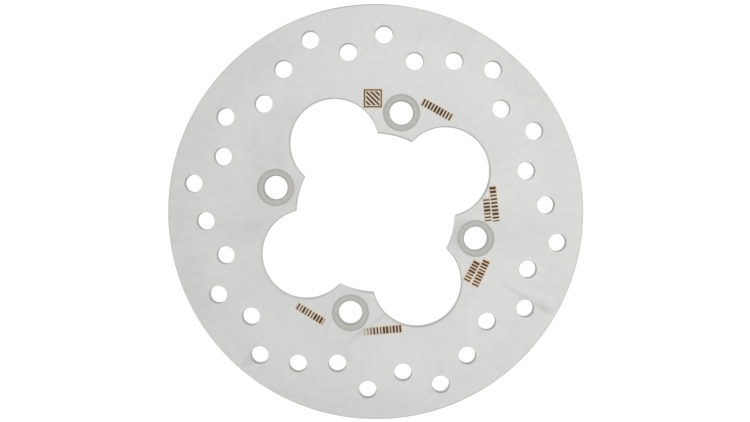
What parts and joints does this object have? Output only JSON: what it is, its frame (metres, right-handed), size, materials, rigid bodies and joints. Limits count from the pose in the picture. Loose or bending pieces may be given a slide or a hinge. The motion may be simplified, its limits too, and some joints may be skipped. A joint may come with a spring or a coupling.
{
  "type": "brake disc rotor",
  "caption": "One-piece flat brake disc: drilled friction ring with four-lobed open centre, tabs with spot-faced bolt holes and pilot arcs that centre it on a wheel hub.",
  "frame": {"origin": "centre of the mounting-hole circle on the disc's hub-side face (z = 0), which is also the axle's axis", "axes": "+Z along the axle, outboard: the spot-faced and marked side faces +Z, the hub-side face is z = 0 and faces -Z. The first mounting hole lies 75.7 degrees from +X towards +Y"},
  "size_m": [0.18, 0.18, 0.005],
  "materials": {
    "ground_stainless_steel": "fine ground, satin"
  },
  "bodies": {
    "root": {"brake_disc": "ground_stainless_steel"}
  },
  "joints": []
}
